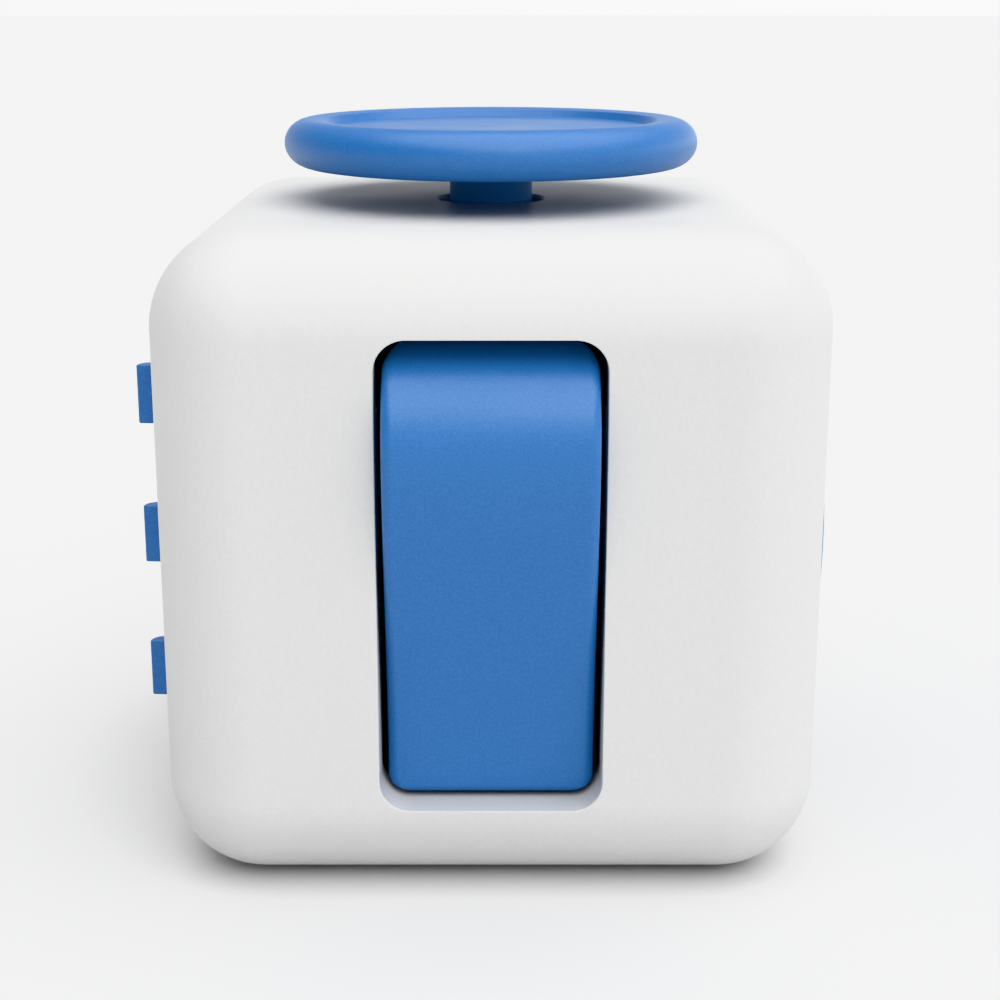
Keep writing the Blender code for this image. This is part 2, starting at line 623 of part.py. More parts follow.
def make_joystick(root, ring, stick):
    out, up = RIM_CENTRE
    wide, tall = RIM_HALF
    rim = [(out + wide * a, up + tall * b) for a, b in arc((0, 0), 1, 90, -120, 7)]
    under = DISC_UNDERSIDE
    profile = [(0, RECESS_FLOOR[1]), RECESS_FLOOR, RECESS_EDGE] + rim
    profile += [(STEM_RADIUS + 0.5, under), (STEM_RADIUS, under - 0.5), (STEM_RADIUS, STEM_END)]
    profile += [(PILOT_RADIUS, STEM_END), (PILOT_RADIUS, under - 1), (0, under - 1)]
    piece("joystick_disc", turned(profile, 48), BLUE, stick)
    flange = (TILT_CENTRE - 2.4, TILT_CENTRE - 1.4)
    top = STEM_END - FIT_GAP
    profile = [(0, flange[0]), (HUB_FLANGE_RADIUS, flange[0]), (HUB_FLANGE_RADIUS, flange[1])]
    profile += [(HUB_RADIUS, flange[1]), (HUB_RADIUS, top), (0, top)]
    hub = piece("joystick_hub", turned(profile, 20), DARK, stick)
    pivot = (0, 0, TILT_CENTRE)
    join(hub, cylinder(TRUNNION_RADIUS, -GIMBAL_RADII[1] + 0.2, GIMBAL_RADII[1] - 0.2, 14, "+Y", pivot))
    cut(hub, cylinder(PILOT_RADIUS, flange[0] - 1, top + 1, 14))
    screw("joystick_screw", flange[0] - REST_GAP, 6.3, "+Z", (0, 0, 0), stick, 1.5)
    inner, outer = GIMBAL_RADII
    low, high = TILT_CENTRE - GIMBAL_HALF_HEIGHT, TILT_CENTRE + GIMBAL_HALF_HEIGHT
    gimbal = piece("joystick_gimbal", cylinder(outer, low, high, 24), STEEL, ring)
    join(gimbal, cylinder(TRUNNION_RADIUS, -FRAME_LUG[1] + 0.2, FRAME_LUG[1] - 0.2, 14, "+X", pivot))
    cut(gimbal, cylinder(inner, low - 1, high + 1, 24))
    cut(gimbal, cylinder(TRUNNION_HOLE_RADIUS, -outer - 1, outer + 1, 14, "+Y", pivot))
    near, far = FRAME_LUG
    floor = block((-far, -4.2, FRAME_FLOOR[0]), (far, 4.2, FRAME_FLOOR[1]))
    frame = piece("joystick_frame", floor, DARK, root)
    top = INNER - 0.2
    for number, side in enumerate((-1, 1), 1):
        lug = sorted((side * near, side * far))
        foot = sorted((side * near, side * 10.6))
        join(frame, block((lug[0], -1.8, FRAME_FLOOR[0] + 0.5), (lug[1], 1.8, top - 0.5)))
        join(frame, block((foot[0], -2.2, top - 1), (foot[1], 2.2, top)))
        spot = (side * FRAME_SCREW_X, 0, 0)
        cut(frame, cylinder(CLEARANCE_RADIUS, top - 2, top + 1, 12, "+Z", spot))
        screw(f"frame_screw_{number}", top - 1 - REST_GAP, 2.2, "+Z", spot, root)
    cut(frame, cylinder(2.3, FRAME_FLOOR[0] - 1, FRAME_FLOOR[1] + 1, 20))
    cut(frame, cylinder(TRUNNION_HOLE_RADIUS, -far - 1, far + 1, 14, "+X", pivot))
    length = flange[0] - FRAME_FLOOR[1] - 0.2
    spring = coil(3.2, 0.3, length, 3, "+Z", (0, 0, FRAME_FLOOR[1] + REST_GAP))
    piece("joystick_spring", spring, STEEL, root)


for old in list(bpy.data.objects):
    bpy.data.objects.remove(old, do_unlink=True)

WHITE = plastic_or_metal("white_plastic", (0.78, 0.78, 0.78), 0.45)
BLUE = plastic_or_metal("blue_plastic", (0.055, 0.27, 0.78), 0.42)
DARK = plastic_or_metal("inner_plastic", (0.06, 0.06, 0.065), 0.6)
STEEL = plastic_or_metal("steel", (0.55, 0.56, 0.58), 0.3, 1.0)
RUBBER = plastic_or_metal("silicone", (0.35, 0.36, 0.38), 0.75)

cube = body("cube")
flip = body("rocker", ROCKER_PIVOT)
gears = [body(f"gear_{number}", (*GEAR_AXIS, height)) for number, height in enumerate(GEAR_HEIGHTS, 1)]
ball_slide = body("ball_cup", BALL_CENTRE)
ball_roll = body("ball", BALL_CENTRE)
dial_spin = body("dial", (HALF, 0, 0))
plunge = body("rocker_plunger", (0, CRADLE_FLOOR[1], 0))
presses = [
    body(f"button_{number}", (column * BUTTON_SPACING, HALF, row * BUTTON_SPACING))
    for number, (column, row) in enumerate(BUTTON_SPOTS, 1)
]
tilt_ring = body("joystick_gimbal", (0, 0, TILT_CENTRE))
tilt_stick = body("joystick_stick", (0, 0, TILT_CENTRE))

make_main_housing(cube)
make_base_cover(cube)
make_rocker(flip)
make_rocker_mount(cube, plunge)
make_gears(cube, gears)
make_ball(cube, ball_slide, ball_roll)
make_dial(dial_spin)
make_buttons(cube, presses)
make_joystick(cube, tilt_ring, tilt_stick)
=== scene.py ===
"""Looks for the fidget cube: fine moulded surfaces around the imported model, in the same frame.

Shapes are worked out in millimetres from the cube's centre, as in the CAD source, and made in
metres."""

import json
from math import acos, cos, pi, radians, sin, sqrt

import bmesh
import bpy
from mathutils import Matrix, Vector


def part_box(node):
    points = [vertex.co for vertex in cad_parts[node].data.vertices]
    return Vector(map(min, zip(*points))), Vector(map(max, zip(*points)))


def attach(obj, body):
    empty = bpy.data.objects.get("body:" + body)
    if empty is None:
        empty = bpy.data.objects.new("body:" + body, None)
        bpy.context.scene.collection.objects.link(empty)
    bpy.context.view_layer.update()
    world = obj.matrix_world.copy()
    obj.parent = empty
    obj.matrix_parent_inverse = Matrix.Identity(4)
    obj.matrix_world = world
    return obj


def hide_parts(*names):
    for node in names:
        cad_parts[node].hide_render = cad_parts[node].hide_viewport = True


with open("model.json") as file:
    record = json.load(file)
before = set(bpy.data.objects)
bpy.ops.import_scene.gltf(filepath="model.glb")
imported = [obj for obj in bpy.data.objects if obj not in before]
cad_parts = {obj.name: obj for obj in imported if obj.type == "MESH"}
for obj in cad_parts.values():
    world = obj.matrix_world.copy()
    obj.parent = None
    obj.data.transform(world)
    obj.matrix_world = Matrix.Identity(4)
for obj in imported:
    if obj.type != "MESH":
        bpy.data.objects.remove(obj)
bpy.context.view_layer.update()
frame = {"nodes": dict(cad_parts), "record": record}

MM = 0.001
HALF = (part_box("main_housing")[1].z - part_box("main_housing")[0].z) / MM / 2


def extent(node):
    """A CAD node's box in millimetres from the cube's centre."""
    low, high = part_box(node)
    lift = Vector((0, 0, HALF))
    return low / MM - lift, high / MM - lift


# Body
EDGE_RADIUS = 5.0
INNER_EDGE_RADIUS = 1.0
WALL = 2.2
INNER = HALF - WALL
FIT_GAP = 0.15
BASE_OPENING_HALF = 11.2
BASE_CORNER_RADIUS = 3.0
SEAM_LIP = 0.08
BASE_EDGE = 0.08
DISH_SIZE = (9.2, 6.6, 1.3)
DISH_CURVE = 1.35
DISH_FLARE = (1.045, 1.09)
DISH_BACKING = (0.8, 3.0)
HOOK = [(9.6, -0.3), (10.6, -0.3), (10.6, FIT_GAP), (11.9, FIT_GAP), (11.0, 1.6), (9.6, 1.6)]
HOOK_HALF_WIDTH = 2.0
FILLET_STEPS = 22
LIP_STEPS = 6
WELD = 0.3
CLEAR = 1

# Front rocker
SLOT_HALF_WIDTH = 5.45
SLOT_HALF_HEIGHT = 11.72
SLOT_CORNER_RADIUS = 1.5
SLOT_RELIEF = (5.5, -15.4, 8.0, 11.8)
SLOT_LIP = 0.07
COLLAR_DEPTH = 3.0
COLLAR_WALL = 1.1
POST_RADIUS = 1.5
ROCKER_HALF_WIDTH = extent("rocker")[1].x
ROCKER_PIVOT = (0.0, -9.0, 0.0)
ROCKER_FLIP = radians(18)
ROCKER_PEAK = (extent("rocker")[0].y, 6.3)
ROCKER_SHOULDER_RADIUS = 5.0
ROCKER_FOOT = (-14.9, -11.05)
ROCKER_FOOT_RADIUS = 0.4
ROCKER_CORNER_RADIUS = 0.85
ROCKER_EDGE = 0.5
ROCKER_FACE_PULLS = (0.05, 6.2, 4.3)
ROCKER_BACK = [
    (-11.2, 11.3),
    (-10.3, 8.0),
    (-9.6, 4.6),
    (-9.2, 0.0),
    (-9.6, -4.0),
    (-10.8, -7.6),
    (-12.0, -11.3),
]
CAM_RADIUS = 3.87
CAM_SIDE = 0.6
CAM_ABOVE = [(-10.5, 6.0), (-9.6, 4.6)]
CAM_BELOW = [(-8.4, -4.0), (-10.5, -6.0)]
NOTCH_RADIUS = 0.65
NOTCH_DISTANCE = 4.3
PIN_BORE_RADIUS = 1.0

# Left gears and ball
GEAR_AXIS = (-13.8, -7.5)
GEAR_PITCH = 7.4
GEAR_HEIGHTS = (GEAR_PITCH, 0.0, -GEAR_PITCH)
GEAR_TEETH = 8
GEAR_OUTER = 4.2
GEAR_ROOT = 3.15
GEAR_EDGE = 0.09
TOOTH_FLANK = 0.45
TOOTH_CREST = 0.35
TOOTH_BACK_RADIUS = 0.7
TOOTH_ROOT = (0.5, -0.6)
GEAR_THICKNESS = 3.05
GEAR_BORE_RADIUS = 0.85
AXLE_RADIUS = 0.75
AXLE_HALF = 11.2
WINDOW_RADIUS = 4.45
WINDOW_HEIGHT = 3.7
BALL_RADIUS = 3.9
BALL_CENTRE = (-13.9, 5.3, 0.0)
BALL_PLAY = 0.15
BALL_RIDGE = 0.012
SOCKET_RADIUS = 5.3
SOCKET_RING = (0.8, 1.2)
WINDOW_LIP = 0.2
WINDOW_CORNER_RADIUS = 0.02
MOUTH_DEPTH = 0.6

# Right dial
DIAL_RADIUS = 9.75
DIAL_RECESS_RADIUS = 10.0
DIAL_RECESS_FLOOR = 15.3
DIAL_FACE = extent("dial")[1].x
DIAL_EDGE = 0.4
DIAL_HUB_RADIUS = 3.0
DIAL_HOLLOW = 0.06
DIMPLE_OFFSET = 5.3
DIMPLE_SPHERE = 4.0
DIMPLE_RISE = 3.2
DIMPLE_REACH = 2.4
DIMPLE_LIP = 0.35

# Back buttons
BUTTON_SPACING = 6.5
BUTTON_SPOTS = [(-1, 1), (1, 1), (0, 0), (-1, -1), (1, -1)]
BUTTON_RADIUS = 2.5
BUTTON_HOLE_RADIUS = 2.65
BUTTON_FACE = extent("button_1")[1].y
BUTTON_FLANGE = (13.2, 14.1)
BUTTON_FLANGE_RADIUS = 3.1
BUTTON_EDGE = 0.45
BUTTON_CROWN = 0.14
BUTTON_PIP_RADIUS = 0.9
BUTTON_PIP_END = 12.8
HOLE_LIP = 0.15
BOARD_FRONT = 11.5
BOARD_SCREW_HEIGHT = 8.8

# Top joystick
STEM_RADIUS = 2.2
STEM_HOLE_RADIUS = 2.85
STEM_END = extent("joystick_disc")[0].z
RIM_CENTRE = (9.63, 19.5)
RIM_HALF = (1.32, 1.23)
RECESS_EDGE = (8.8, 20.65)
RECESS_FLOOR = (8.5, 20.26)
DISC_UNDERSIDE = 18.45
NECK_RADIUS = 0.4

# Screw bosses
CRADLE_SCREWS = [(x, z) for x in (-8.4, 8.4) for z in (-2.8, 2.8)]
CRADLE_FOOT_BACK = -13.2
FRAME_SCREW_X = 8.9
GEAR_SCREW_HEIGHT = 12.1
PILOT_RADIUS = 0.7
REST_GAP = 0.1

# Camera and floor
CAMERA_PLACE = (0.0, -0.09973, 0.04354)
CAMERA_PITCH = 15.364
CAMERA_LENS = 66.25
CAMERA_SHIFT = 0.0091
FLOOR_RADIUS = 4.0
FLOOR_TONE = 0.67

# Light: the sky's strength from its foot up, from left to right and from front to back, then
# each sun's direction, spread in degrees and strength
SKY_LEVELS = (1.45, 0.4)
SKY_SIDES = (0.45, 1.25)
SKY_DEPTH = (0.85, 1.35)
HORIZON_BAND = 0.4
KEY_LIGHT = ((0.2, -1.0, 0.68), 45.0, 0.6)
OVERHEAD_LIGHT = ((0.15, -0.2, 1.0), 90.0, 3.95)

AIM = {
    "+Z": Matrix.Identity(4),
    "+X": Matrix.Rotation(pi / 2, 4, "Y"),
    "+Y": Matrix.Rotation(-pi / 2, 4, "X"),
}


# Shapes, in millimetres from the cube's centre


def block(low, high, bevel=0.0, segments=1):
    low, high = Vector(low), Vector(high)
    shape = bmesh.new()
    bmesh.ops.create_cube(shape, size=1.0, matrix=Matrix.Diagonal((*(high - low), 1.0)))
    if bevel:
        bmesh.ops.bevel(
            shape,
            geom=shape.edges[:],
            offset=bevel,
            segments=segments,
            profile=0.5,
            affect="EDGES",
        )
    shape.transform(Matrix.Translation((low + high) / 2))
    return shape


def turned(profile, steps, aim="+Z", centre=(0, 0, 0)):
    """(radius, height) points turned about an axis: from axis to axis, or in a loop clear of it."""
    shape = bmesh.new()
    points = [shape.verts.new((radius, 0, height)) for radius, height in profile]
    pairs = list(zip(points, points[1:]))
    if profile[0][0] > 0:
        pairs.append((points[-1], points[0]))
    edges = [shape.edges.new(pair) for pair in pairs]
    bmesh.ops.spin(
        shape,
        geom=points + edges,
        cent=(0, 0, 0),
        axis=(0, 0, 1),
        angle=2 * pi,
        steps=steps,
        use_merge=True,
    )
    bmesh.ops.remove_doubles(shape, verts=shape.verts, dist=1e-4)
    bmesh.ops.recalc_face_normals(shape, faces=shape.faces)
    shape.transform(Matrix.Translation(centre) @ AIM[aim])
    return shape


def cylinder(radius, start, end, steps, aim="+Z", centre=(0, 0, 0)):
    return turned([(0, start), (radius, start), (radius, end), (0, end)], steps, aim, centre)


def ball_shape(radius, centre, rings):
    turns = [pi * k / rings for k in range(rings + 1)]
    profile = [(radius * sin(turn), -radius * cos(turn)) for turn in turns]
    return turned(profile, 2 * rings, centre=centre)


def arc(centre, radius, start, end, steps):
    """Points on a circle from one angle to another, in degrees."""
    angles = [radians(start + (end - start) * k / steps) for k in range(steps + 1)]
    return [(centre[0] + radius * cos(a), centre[1] + radius * sin(a)) for a in angles]


def rounded_rectangle(half_width, half_height, radius, steps, middle=(0, 0)):
    across, up = half_width - radius, half_height - radius
    corners = [(across, up, 0), (-across, up, 90), (-across, -up, 180), (across, -up, 270)]
    outline = []
    for x, z, angle in corners:
        outline += arc((middle[0] + x, middle[1] + z), radius, angle, angle + 90, steps)
    return outline


def lofted(layers):
    """A closed solid through layers of as many points each, capped with flat faces at both ends."""
    shape = bmesh.new()
    rings = [[shape.verts.new(point) for point in layer] for layer in layers]
    for first, second in zip(rings, rings[1:]):
        for k, corner in enumerate(first):
            after = (k + 1) % len(first)
            shape.faces.new((corner, first[after], second[after], second[k]))
    shape.faces.new(rings[0])
    shape.faces.new(rings[-1])
    bmesh.ops.recalc_face_normals(shape, faces=shape.faces)
    return shape


def placed(outline, height, along):
    """An outline's points at one height on an axis: (y, z) for X, (x, z) for Y, (x, y) for Z."""
    if along == "X":
        return [(height, a, b) for a, b in outline]
    if along == "Y":
        return [(a, height, b) for a, b in outline]
    return [(a, b, height) for a, b in outline]


def extruded(outline, start, end, along):
    return lofted([placed(outline, start, along), placed(outline, end, along)])


def flared(half_width, half_height, radius, lip, face, inside, along, middle=(0, 0), steps=10):
    """A cutter for an opening whose edge is rounded at the face. inside is the cutter's far end."""
    away = 1 if face > inside else -1

    def ring(spread, height):
        size = (half_width + spread, half_height + spread, radius + spread)
        return placed(rounded_rectangle(*size, steps, middle), height, along)

    layers = [ring(0.0, inside)]
    for k in range(LIP_STEPS + 1):
        turn = pi / 2 * k / LIP_STEPS
        layers.append(ring(lip * (1 - cos(turn)), face - away * lip * (1 - sin(turn))))
    layers.append(ring(lip, face + away))
    return lofted(layers)


def flared_bore(radius, lip, face, inside, steps, aim, centre=(0, 0, 0)):
    """A round cutter whose mouth is rounded where it meets the face."""
    away = 1 if face > inside else -1
    profile = [(0, inside), (radius, inside)]
    for k in range(LIP_STEPS + 1):
        turn = pi / 2 * k / LIP_STEPS
        profile.append((radius + lip * (1 - cos(turn)), face - away * lip * (1 - sin(turn))))
    profile += [(radius + lip, face + away), (0, face + away)]
    return turned(profile, steps, aim, centre)


def inset(outline, distance):
    """A closed outline moved inwards along each point's own normal."""
    count = len(outline)
    area = sum(a * d - c * b for (a, b), (c, d) in zip(outline, outline[1:] + outline[:1]))
    inward = 1 if area > 0 else -1
    moved = []
    for k, (a, b) in enumerate(outline):
        before, after = Vector(outline[k - 1]), Vector(outline[(k + 1) % count])
        first = (Vector((a, b)) - before).normalized()
        second = (after - Vector((a, b))).normalized()
        middle = (first + second).normalized()
        normal = Vector((-middle.y, middle.x)) * inward
        moved.append((a + normal.x * distance, b + normal.y * distance))
    return moved


def rounded_plate(outline, low, high, edge, along, steps=4):
    """An extruded outline whose two rims are rounded."""
    turns = [pi / 2 * k / steps for k in range(steps + 1)]
    rims = [(turn, low + edge * (1 - cos(turn))) for turn in turns]
    rims += [(turn, high - edge * (1 - cos(turn))) for turn in turns[::-1]]
    layers = [placed(inset(outline, edge * (1 - sin(turn))), end, along) for turn, end in rims]
    return lofted(layers)


# Pieces


def temporary(shape):
    mesh = bpy.data.meshes.new("shape")
    shape.to_mesh(mesh)
    shape.free()
    thing = bpy.data.objects.new("shape", mesh)
    bpy.context.scene.collection.objects.link(thing)
    return thing


def worked(shape, *steps):
    """A shape with others joined to it or cut from it. Each step is (operation, shapes)."""
    thing = temporary(shape)
    helpers = []
    for operation, others in steps:
        for other in others:
            helper = temporary(other)
            helpers.append(helper)
            modifier = thing.modifiers.new("step", "BOOLEAN")
            modifier.operation = operation
            modifier.solver = "MANIFOLD"
            modifier.object = helper
    bpy.context.view_layer.update()
    graph = bpy.context.evaluated_depsgraph_get()
    result = bmesh.new()
    result.from_mesh(thing.evaluated_get(graph).to_mesh())
    for old in [thing, *helpers]:
        bpy.data.objects.remove(old, do_unlink=True)
    return result


def piece(name, shape, material, body, replaced, sharp=32, weighted=True):
    """A finished piece: smooth-shaded, riding on its body and standing for its CAD node."""
    shape.transform(Matrix.Scale(MM, 4) @ Matrix.Translation((0, 0, HALF)))
    mesh = bpy.data.meshes.new(name)
    shape.to_mesh(mesh)
    shape.free()
    mesh.shade_smooth()
    mesh.set_sharp_from_angle(angle=radians(sharp))
    mesh.materials.append(material)
    thing = bpy.data.objects.new(name, mesh)
    bpy.context.scene.collection.objects.link(thing)
    if weighted:
        normals = thing.modifiers.new("normals", "WEIGHTED_NORMAL")
        normals.keep_sharp = True
        normals.weight = 50
    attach(thing, body)
    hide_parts(replaced)
    return thing


# Materials


def noise(nodes, links, scale, detail, source):
    texture = nodes.new("ShaderNodeTexNoise")
    texture.inputs["Scale"].default_value = scale
    texture.inputs["Detail"].default_value = detail
    links.new(source.outputs["Object"], texture.inputs["Vector"])
    return texture


def ranged(nodes, links, value, low, high, span=(0.3, 0.7)):
    """A value's span, by default most of a noise's, spread between two limits."""
    spread = nodes.new("ShaderNodeMapRange")
    spread.inputs["From Min"].default_value = span[0]
    spread.inputs["From Max"].default_value = span[1]
    spread.inputs["To Min"].default_value = low
    spread.inputs["To Max"].default_value = high
    links.new(value, spread.inputs["Value"])
    return spread


def moulded(name, dark, light, grain_scale, grain_depth, roughness, metallic=0.0):
    """Moulded or plated surface: fine grain in bump and colour, and slow changes of gloss."""
    material = bpy.data.materials.new(name)
    material.use_nodes = True
    nodes, links = material.node_tree.nodes, material.node_tree.links
    shader = nodes["Principled BSDF"]
    shader.inputs["Metallic"].default_value = metallic
    shader.inputs["Specular IOR Level"].default_value = 0.5
    source = nodes.new("ShaderNodeTexCoord")
    grain = noise(nodes, links, grain_scale, 2.0, source)
    mottle = noise(nodes, links, 180.0, 3.0, source)
    colour = nodes.new("ShaderNodeMix")
    colour.data_type = "RGBA"
    colour.inputs["A"].default_value = (*dark, 1.0)
    colour.inputs["B"].default_value = (*light, 1.0)
    share = ranged(nodes, links, grain.outputs["Fac"], 0.0, 1.0)
    links.new(share.outputs["Result"], colour.inputs["Factor"])
    links.new(colour.outputs["Result"], shader.inputs["Base Color"])
    gloss = ranged(nodes, links, mottle.outputs["Fac"], *roughness)
    links.new(gloss.outputs["Result"], shader.inputs["Roughness"])
    bump = nodes.new("ShaderNodeBump")
    bump.inputs["Strength"].default_value = 0.5
    bump.inputs["Distance"].default_value = grain_depth
    links.new(grain.outputs["Fac"], bump.inputs["Height"])
    links.new(bump.outputs["Normal"], shader.inputs["Normal"])
    return material


WHITE = moulded(
    "white_plastic", (0.57, 0.57, 0.568), (0.59, 0.59, 0.588), 5200.0, 4e-6, (0.40, 0.46)
)
BLUE = moulded(
    "blue_plastic", (0.029, 0.132, 0.365), (0.038, 0.159, 0.42), 9000.0, 1e-5, (0.36, 0.44)
)
# Dark grey for the inner frames: partly their own dark plastic, partly painted shade that keeps the
# gaps beside the rocker dark
DARK_INNER_AND_GAP_SHADE = moulded(
    "inner_plastic", (0.035, 0.036, 0.038), (0.055, 0.056, 0.06), 3000.0, 1e-5, (0.5, 0.65)
)
STEEL = moulded(
    "steel", (0.50, 0.51, 0.53), (0.60, 0.61, 0.62), 1800.0, 4e-6, (0.24, 0.38), metallic=1.0
)
RUBBER = moulded(
    "silicone", (0.30, 0.31, 0.33), (0.37, 0.38, 0.40), 2200.0, 1.5e-5, (0.68, 0.8)
)
BY_SLOT = {
    "white_plastic": WHITE,
    "blue_plastic": BLUE,
    "inner_plastic": DARK_INNER_AND_GAP_SHADE,
    "steel": STEEL,
    "silicone": RUBBER,
}


def finish_cad_nodes():
    """Every CAD node takes the material of its slot, also those that a finer piece stands for."""
    slots = {entry["node"]: entry["material_slot"] for entry in frame["record"]["subparts"]}
    for name, node in frame["nodes"].items():
        node.data.materials.clear()
        node.data.materials.append(BY_SLOT[slots[name]])


# Sub-parts


def make_housing():
    inner = (INNER, INNER, INNER)
    around_ball = (0, *BALL_CENTRE[1:])
    cavity = block([-c for c in inner], inner, INNER_EDGE_RADIUS, 4)
    across, up = SLOT_HALF_WIDTH + COLLAR_WALL, SLOT_HALF_HEIGHT + COLLAR_WALL
    collar = rounded_rectangle(across, up, SLOT_CORNER_RADIUS + COLLAR_WALL, 10)
    ring_wall, ring_height = SOCKET_RING
    ring = [(SOCKET_RADIUS, -INNER - WELD), (SOCKET_RADIUS + ring_wall, -INNER - WELD)]
    for radius in (SOCKET_RADIUS + ring_wall, SOCKET_RADIUS):
        ring.append((radius, -INNER + ring_height))
    added = [
        extruded(collar, -INNER - WELD, -HALF + COLLAR_DEPTH, "Y"),
        turned(ring, 64, "+X", around_ball),
    ]
    for x, z in CRADLE_SCREWS:
        end = CRADLE_FOOT_BACK - REST_GAP
        added.append(cylinder(POST_RADIUS, -INNER - WELD, end, 32, "+Y", (x, 0, z)))
    for side in (-1, 1):
        spot = (0, 0, side * BOARD_SCREW_HEIGHT)
        added.append(cylinder(POST_RADIUS, BOARD_FRONT + REST_GAP, INNER + WELD, 32, "+Y", spot))
    slot = (SLOT_HALF_WIDTH, SLOT_HALF_HEIGHT, SLOT_CORNER_RADIUS, SLOT_LIP)
    base = (BASE_OPENING_HALF, BASE_OPENING_HALF, BASE_CORNER_RADIUS, SEAM_LIP)
    across, front, low, high = SLOT_RELIEF
    behind = -HALF + COLLAR_DEPTH + CLEAR
    opening = [
        flared(*slot, -HALF, behind, "Y", steps=14),
        block((-across, front, low), (across, behind, high)),
        flared(*base, -HALF, -INNER + CLEAR, "Z", steps=16),
    ]
    half_chord = sqrt(WINDOW_RADIUS**2 - (HALF + GEAR_AXIS[0]) ** 2)
    window = (half_chord, WINDOW_HEIGHT / 2, WINDOW_CORNER_RADIUS, WINDOW_LIP)
    for height in GEAR_HEIGHTS:
        low, high = height - WINDOW_HEIGHT / 2, height + WINDOW_HEIGHT / 2
        opening.append(cylinder(WINDOW_RADIUS, low, high, 96, centre=(*GEAR_AXIS, 0)))
        middle = (GEAR_AXIS[1], height)
        opening.append(flared(*window, -HALF, -HALF + MOUTH_DEPTH, "X", middle, 4))
    groove = AXLE_HALF + FIT_GAP
    opening.append(cylinder(AXLE_RADIUS + FIT_GAP, -groove, groove, 32, centre=(*GEAR_AXIS, 0)))
    seat = BALL_RADIUS + BALL_PLAY
    mouth = sqrt(seat**2 - (HALF + BALL_CENTRE[0]) ** 2)
    opening.append(ball_shape(seat, BALL_CENTRE, 40))
    end = -HALF + MOUTH_DEPTH
    opening.append(flared_bore(mouth, WINDOW_LIP, -HALF, end, 96, "+X", around_ball))
    opening.append(flared_bore(DIAL_RECESS_RADIUS, WINDOW_LIP, HALF, DIAL_RECESS_FLOOR, 160, "+X"))
    hub = DIAL_HUB_RADIUS + REST_GAP
    opening.append(cylinder(hub, INNER - CLEAR, DIAL_RECESS_FLOOR + CLEAR, 64, "+X"))
    for x, z in BUTTON_SPOTS:
        spot = (x * BUTTON_SPACING, 0, z * BUTTON_SPACING)
        hole = (BUTTON_HOLE_RADIUS, HOLE_LIP, HALF, INNER - CLEAR, 72, "+Y", spot)
        opening.append(flared_bore(*hole))
    opening.append(flared_bore(STEM_HOLE_RADIUS, HOLE_LIP, HALF, INNER - CLEAR, 72, "+Z"))
    bores = [(-HALF + CLEAR, -INNER + 2 * CLEAR, "+Y", (x, 0, z)) for x, z in CRADLE_SCREWS]
    for side in (-1, 1):
        bores.append((BOARD_FRONT - CLEAR, HALF - CLEAR, "+Y", (0, 0, side * BOARD_SCREW_HEIGHT)))
        bores.append((INNER - CLEAR, HALF - CLEAR, "+Z", (side * FRAME_SCREW_X, 0, 0)))
        spot = (0, GEAR_AXIS[1], side * GEAR_SCREW_HEIGHT)
        bores.append((-HALF + CLEAR, -INNER + CLEAR, "+X", spot))
    opening += [cylinder(PILOT_RADIUS, start, end, 16, aim, at) for start, end, aim, at in bores]
    corner = (HALF, HALF, HALF)
    solid = block([-c for c in corner], corner, EDGE_RADIUS, FILLET_STEPS)
    shape = worked(solid, ("DIFFERENCE", [cavity]), ("UNION", added), ("DIFFERENCE", opening))
    piece("cube_housing", shape, WHITE, "cube_body", "main_housing")


def make_base():
    half, radius = BASE_OPENING_HALF - FIT_GAP, BASE_CORNER_RADIUS - FIT_GAP
    outline = rounded_rectangle(half, half, radius, 16)
    plate = rounded_plate(outline, -HALF, -INNER, BASE_EDGE, "Z", 3)
    across, along, depth = DISH_SIZE
    margin, thickness_radius = DISH_BACKING
    backing = rounded_rectangle(across, along + margin, thickness_radius, 8)
    added = [extruded(backing, -INNER - WELD, -INNER + margin, "Z")]
    for quarter in range(4):
        hook = extruded([(a, b - INNER) for a, b in HOOK], -HOOK_HALF_WIDTH, HOOK_HALF_WIDTH, "Y")
        hook.transform(Matrix.Rotation(quarter * pi / 2, 4, "Z"))
        added.append(hook)
    within, edge = DISH_FLARE
    steps = 40
    reaches = [k / steps for k in range(steps)]
    profile = [(reach * within, depth * cos(reach * pi / 2) ** DISH_CURVE) for reach in reaches]
    profile += [(edge, -0.4), (0, -0.4)]
    dish = turned(profile, 128)
    dish.transform(Matrix.Translation((0, 0, -HALF)) @ Matrix.Diagonal((across, along, 1, 1)))
    shape = worked(plate, ("UNION", added), ("DIFFERENCE", [dish]))
    piece("thumb_dish_base", shape, WHITE, "cube_body", "base_cover")


def rocker_outline():
    """The rocker's side: a rounded foot, a face that swells to a shoulder, and a plain back."""
    foot, peak = ROCKER_FOOT, ROCKER_PEAK
    lean, rise, swell = ROCKER_FACE_PULLS
    pulls = (foot, (foot[0] - lean, foot[1] + rise), (peak[0], peak[1] - swell), peak)
    face = []
    steps = 48
    for k in range(1, steps):
        t = k / steps
        weights = ((1 - t) ** 3, 3 * t * (1 - t) ** 2, 3 * t * t * (1 - t), t**3)
        face.append(tuple(sum(w * p[i] for w, p in zip(weights, pulls)) for i in (0, 1)))
    shoulder = (peak[0] + ROCKER_SHOULDER_RADIUS, peak[1])
    heel = arc((foot[0] + ROCKER_FOOT_RADIUS, foot[1]), ROCKER_FOOT_RADIUS, 270, 180, 8)
    return heel + face + arc(shoulder, ROCKER_SHOULDER_RADIUS, 180, 90, 36)


